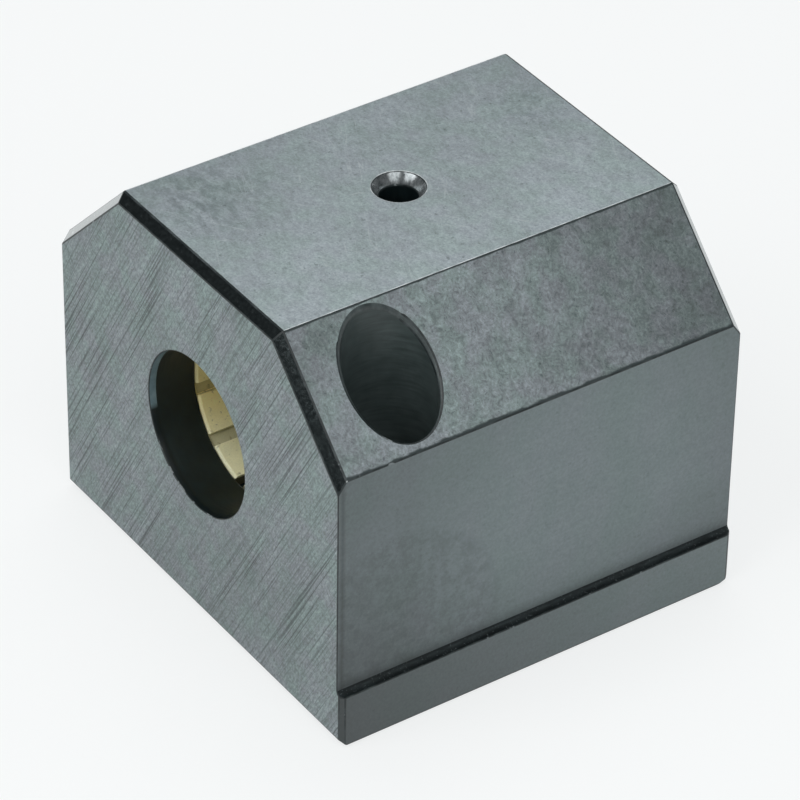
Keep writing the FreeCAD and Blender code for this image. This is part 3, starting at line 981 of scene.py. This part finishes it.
# %% Rims and countersink
RIM_DARK = (0.035, 0.046, 0.046)
RIM_WORN = (0.075, 0.092, 0.093)
CONE_DARK = (0.12, 0.138, 0.142)
CONE_BRIGHT = (0.42, 0.45, 0.46)
rim = Finish("rim_break", Roughness=0.4)
wear_and_shade = rim.noise(rim.place, 0.7, 3, 0.65)
dull = rim.mix(rim.spread(wear_and_shade, 0.38, 0.65, 0, 1), RIM_DARK, RIM_WORN)
rim.wear(dull, rim.vary(wear_and_shade, 0.3, 0.45), rim.relief(wear_and_shade, 0.01, 0.3))

cone = Finish("countersink_cone", Metallic=0.7)
streaks = cone.noise(cone.mapped(cone.place, scale=(1, 1, 0.2)), 1.5, 4, 0.7)
shiny = cone.mix(cone.spread(streaks, 0.35, 0.65, 0, 1), CONE_DARK, CONE_BRIGHT)
cone.wear(shiny, cone.vary(streaks, 0.14, 0.28), cone.relief(streaks, 0.01, 0.35))

# %% Rubbed edges, with a painted highlight
# These rounds are light: rubbed bare metal with a painted highlight.
RUB_AND_HIGHLIGHT_GREY = (0.34, 0.38, 0.39)
RUB_AND_HIGHLIGHT_WHITE = (0.7, 0.74, 0.75)
light_edge = Finish("edge_light", Metallic=0.3, Roughness=0.35)
rub = light_edge.noise(light_edge.place, 0.45, 3, 0.6)
rubbed_and_highlit = light_edge.mix(light_edge.spread(rub, 0.4, 0.6, 0, 1), RUB_AND_HIGHLIGHT_GREY, RUB_AND_HIGHLIGHT_WHITE)
light_edge.wear(rubbed_and_highlit, light_edge.vary(rub, 0.3, 0.45))

# %% Dirty edges
DIRT_BLACK = (0.01, 0.016, 0.017)
DIRT_GREY = (0.05, 0.063, 0.065)
NICK_BRIGHT = (0.32, 0.36, 0.37)
MOUTH_FOOT = (-4, -27.75, 17)
dark_edge = Finish("edge_dark", Roughness=0.45)
rub = dark_edge.noise(dark_edge.place, 0.5, 3, 0.6)
nick = dark_edge.noise(dark_edge.place, 0.6, 2, 0.6)
dirty = dark_edge.mix(dark_edge.spread(rub, 0.45, 0.7, 0, 1), DIRT_BLACK, DIRT_GREY)
low_mouth = dark_edge.spread(dark_edge.away_from(MOUTH_FOOT), 6, 9, 0.16, 0)
nick = dark_edge.number("ADD", nick, low_mouth)
dirty = dark_edge.mix(dark_edge.spread(nick, 0.67, 0.72, 0, 0.6), dirty, NICK_BRIGHT)
dark_edge.wear(dirty, dark_edge.vary(rub, 0.4, 0.5))

# %% [markdown]
# ## The liner's polymer
#
# The polymer is the colour of old ivory, and yellower higher up. The grooves are a shade darker than the
# lands, while the moulded edges are a little lighter, a painted highlight. The three finishes could be
# made one by one, but only their tone differs, so one loop makes them all.

# %% Liner
IVORY_LOW = (0.8, 0.78, 0.52)
IVORY_HIGH = (0.97, 0.84, 0.41)
SHAFT_DUST = (0.22, 0.2, 0.12)
# The edges' lighter tone is a painted highlight.
for finish_name, tone in (("polymer_land", 1.12), ("polymer_groove", 0.66), ("polymer_edge", 1.16)):
    polymer = Finish(finish_name, Roughness=0.4)
    haze = polymer.noise(polymer.mapped(polymer.place, scale=(1, 0.5, 1)), 0.35, 2, 0.5)
    grain = polymer.noise(polymer.place, 5.0, 2, 0.6)
    dust = polymer.noise(polymer.place, 1.2, 3, 0.7)
    age = polymer.spread(polymer.along("Z"), 17.5, 22.5, 0, 1)
    colour = polymer.mix(age, IVORY_LOW, IVORY_HIGH)
    colour = polymer.shade(colour, polymer.spread(haze, 0.35, 0.65, 0.9 * tone, 1.04 * tone))
    colour = polymer.shade(colour, polymer.vary(grain, 0.94, 1.05))
    colour = polymer.mix(polymer.spread(dust, 0.6, 0.7, 0, 0.6), colour, SHAFT_DUST)
    # Painted shade: nearly black at the very bottom of the liner, by the slit.
    colour = polymer.shade(colour, polymer.spread(polymer.along("Z"), 15.6, 15.72, 0.15, 1.0))
    polymer.wear(colour, polymer.vary(grain, 0.36, 0.46), polymer.relief(grain, 0.006, 0.2))

# %% [markdown]
# ## Studio
#
# The block stands on a plain pale floor. Two soft boxes stand left and right of the camera, high up, and
# a third behind the block. A dim room fills the shadows, and polished metal mirrors it as nearly black.
# Seen by the camera and in reflections, most of the floor's light is its own, so it stays pale, and the
# rest still takes the block's shadow.

# %% Floor
FLOOR_RADIUS = 3.0
FLOOR_LIP = 0.5
put_down_all()
bpy.ops.mesh.primitive_circle_add(vertices=96, radius=FLOOR_RADIUS, fill_type="NGON", location=(0, 0, 0))
floor = bpy.context.object
floor.name = "floor"
bpy.ops.object.mode_set(mode="EDIT")
bpy.ops.mesh.select_all(action="SELECT")
bpy.ops.mesh.extrude_region_move(TRANSFORM_OT_translate={"value": (0, 0, FLOOR_LIP)})
bpy.ops.transform.resize(value=(1.1, 1.1, 1.1), center_override=(0, 0, FLOOR_LIP))
bpy.ops.mesh.delete(type="ONLY_FACE")
bpy.ops.object.mode_set(mode="OBJECT")
print("floor, m:", [round(side, 2) for side in floor.dimensions])

# %% Paper of the floor
PAPER_UNSEEN = (0.6, 0.61, 0.61, 1)     # what the block is lit by
PAPER_SEEN = (0.2, 0.203, 0.203, 1)     # what takes the shadow
PAPER_GLOW = (0.985, 1.0, 1.0, 1)
PAPER_GLOW_STRENGTH = 0.745
paper = bpy.data.materials.new("floor_paper")
paper.use_nodes = True
paper_nodes, paper_links = paper.node_tree.nodes, paper.node_tree.links
paper_nodes.clear()
output = paper_nodes.new("ShaderNodeOutputMaterial")
matte = paper_nodes.new("ShaderNodeBsdfDiffuse")
matte.inputs["Color"].default_value = PAPER_UNSEEN
seen_matte = paper_nodes.new("ShaderNodeBsdfDiffuse")
seen_matte.inputs["Color"].default_value = PAPER_SEEN
own_light = paper_nodes.new("ShaderNodeEmission")
own_light.inputs["Color"].default_value = PAPER_GLOW
own_light.inputs["Strength"].default_value = PAPER_GLOW_STRENGTH
seen_sum = paper_nodes.new("ShaderNodeAddShader")
paper_links.new(seen_matte.outputs[0], seen_sum.inputs[0])
paper_links.new(own_light.outputs[0], seen_sum.inputs[1])
ray = paper_nodes.new("ShaderNodeLightPath")
either = paper_nodes.new("ShaderNodeMath")
either.operation = "MAXIMUM"
paper_links.new(ray.outputs["Is Camera Ray"], either.inputs[0])
paper_links.new(ray.outputs["Is Glossy Ray"], either.inputs[1])
any_seen = paper_nodes.new("ShaderNodeMath")
any_seen.operation = "MAXIMUM"
paper_links.new(either.outputs[0], any_seen.inputs[0])
paper_links.new(ray.outputs["Is Transmission Ray"], any_seen.inputs[1])
choose = paper_nodes.new("ShaderNodeMixShader")
paper_links.new(any_seen.outputs[0], choose.inputs[0])
paper_links.new(matte.outputs[0], choose.inputs[1])
paper_links.new(seen_sum.outputs[0], choose.inputs[2])
paper_links.new(choose.outputs[0], output.inputs["Surface"])
floor.data.materials.append(paper)
print("floor_paper is made of", len(paper_nodes), "nodes")

# %% Lights
AIM = Vector((0, 0, 25 * MM))


def soft_box(name, azimuth, elevation, distance, side, power):
    """A square lamp that points at the block. Azimuth 0 is in front of the block, 90 at its right."""
    turn, rise = math.radians(azimuth), math.radians(elevation)
    towards = Vector((math.sin(turn) * math.cos(rise), -math.cos(turn) * math.cos(rise), math.sin(rise)))
    lamp = bpy.data.lights.new(name, "AREA")
    lamp.shape = "SQUARE"
    lamp.size = side
    lamp.energy = power
    holder = bpy.data.objects.new(name, lamp)
    bpy.context.scene.collection.objects.link(holder)
    holder.location = AIM + towards * distance
    holder.rotation_euler = towards.to_track_quat("Z", "Y").to_euler()
    print(name, "gives", power, "watts")


soft_box("front_soft_box", azimuth=2, elevation=50, distance=0.9, side=0.58, power=3.6)
soft_box("right_soft_box", azimuth=79, elevation=50, distance=0.9, side=0.58, power=2.4)
soft_box("rear_soft_box", azimuth=-130, elevation=70, distance=1.0, side=0.6, power=2.8)

# %% Room
ROOM_TINT = (0.9, 0.97, 1.0, 1)
ROOM_LIGHT = 0.3
ROOM_MIRRORED = 0.05
world = bpy.data.worlds.new("studio_room")
bpy.context.scene.world = world
world.use_nodes = True
world.node_tree.nodes["Background"].inputs["Color"].default_value = ROOM_TINT
world_ray = world.node_tree.nodes.new("ShaderNodeLightPath")
dimmer = world.node_tree.nodes.new("ShaderNodeMapRange")
dimmer.inputs["To Min"].default_value = ROOM_LIGHT
dimmer.inputs["To Max"].default_value = ROOM_MIRRORED
world.node_tree.links.new(world_ray.outputs["Is Glossy Ray"], dimmer.inputs["Value"])
world.node_tree.links.new(dimmer.outputs[0], world.node_tree.nodes["Background"].inputs["Strength"])
print("room light:", ROOM_LIGHT, "and mirrored:", ROOM_MIRRORED)

# %% Camera
CAMERA_AT = Vector((371.82, -259.87, 353.73)) * MM
CAMERA_AIM = Vector((2.58, -1.15, 21.58)) * MM
CAMERA_LENS = 215.2
CAMERA_ROLL = math.radians(0.98)
lens = bpy.data.cameras.new("camera")
lens.lens = CAMERA_LENS
lens.sensor_width = 36
lens.clip_end = 20
camera = bpy.data.objects.new("camera", lens)
bpy.context.scene.collection.objects.link(camera)
camera.location = CAMERA_AT
look = (CAMERA_AIM - CAMERA_AT).to_track_quat("-Z", "Y")
camera.rotation_euler = (look @ Quaternion((0, 0, 1), CAMERA_ROLL)).to_euler()
bpy.context.scene.camera = camera
bpy.context.scene.view_settings.view_transform = "Standard"
print("camera is", round((CAMERA_AT - CAMERA_AIM).length / MM), "mm from the block")
